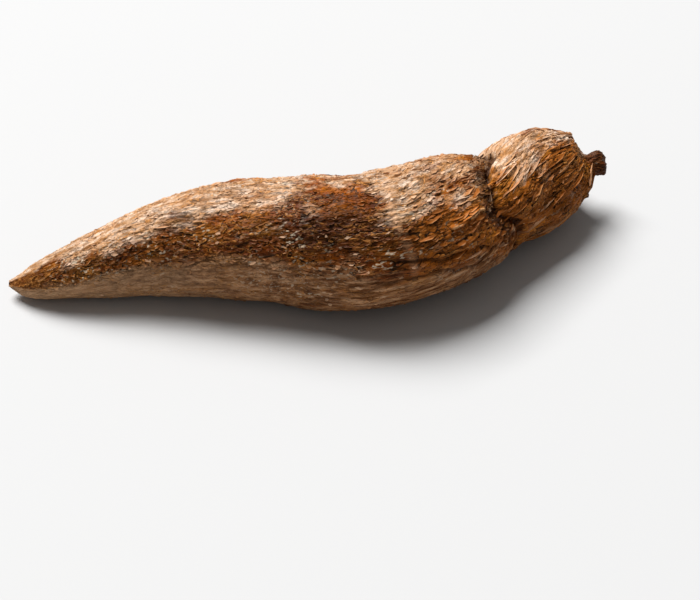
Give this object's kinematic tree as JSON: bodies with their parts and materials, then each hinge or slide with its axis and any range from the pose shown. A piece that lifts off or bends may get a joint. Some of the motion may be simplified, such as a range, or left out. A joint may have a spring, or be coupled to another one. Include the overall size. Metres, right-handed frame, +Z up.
{
  "type": "cassava root",
  "caption": "Whole cassava root lying on its side, bent and thick at the belly, with a thin tip and a round head with a stalk stub.",
  "frame": {"origin": "middle of the bounding box in X and Y, on the surface that the root lies on", "axes": "+X runs along the root from its thin tip to the stalk, +Z is up, and the bend of the root bulges towards -Y"},
  "size_m": [0.2978, 0.091, 0.0625],
  "materials": {
    "bark": "flaky brown cork skin with a thin wax gloss"
  },
  "bodies": {
    "root": {"cassava_root": "bark"}
  },
  "joints": []
}
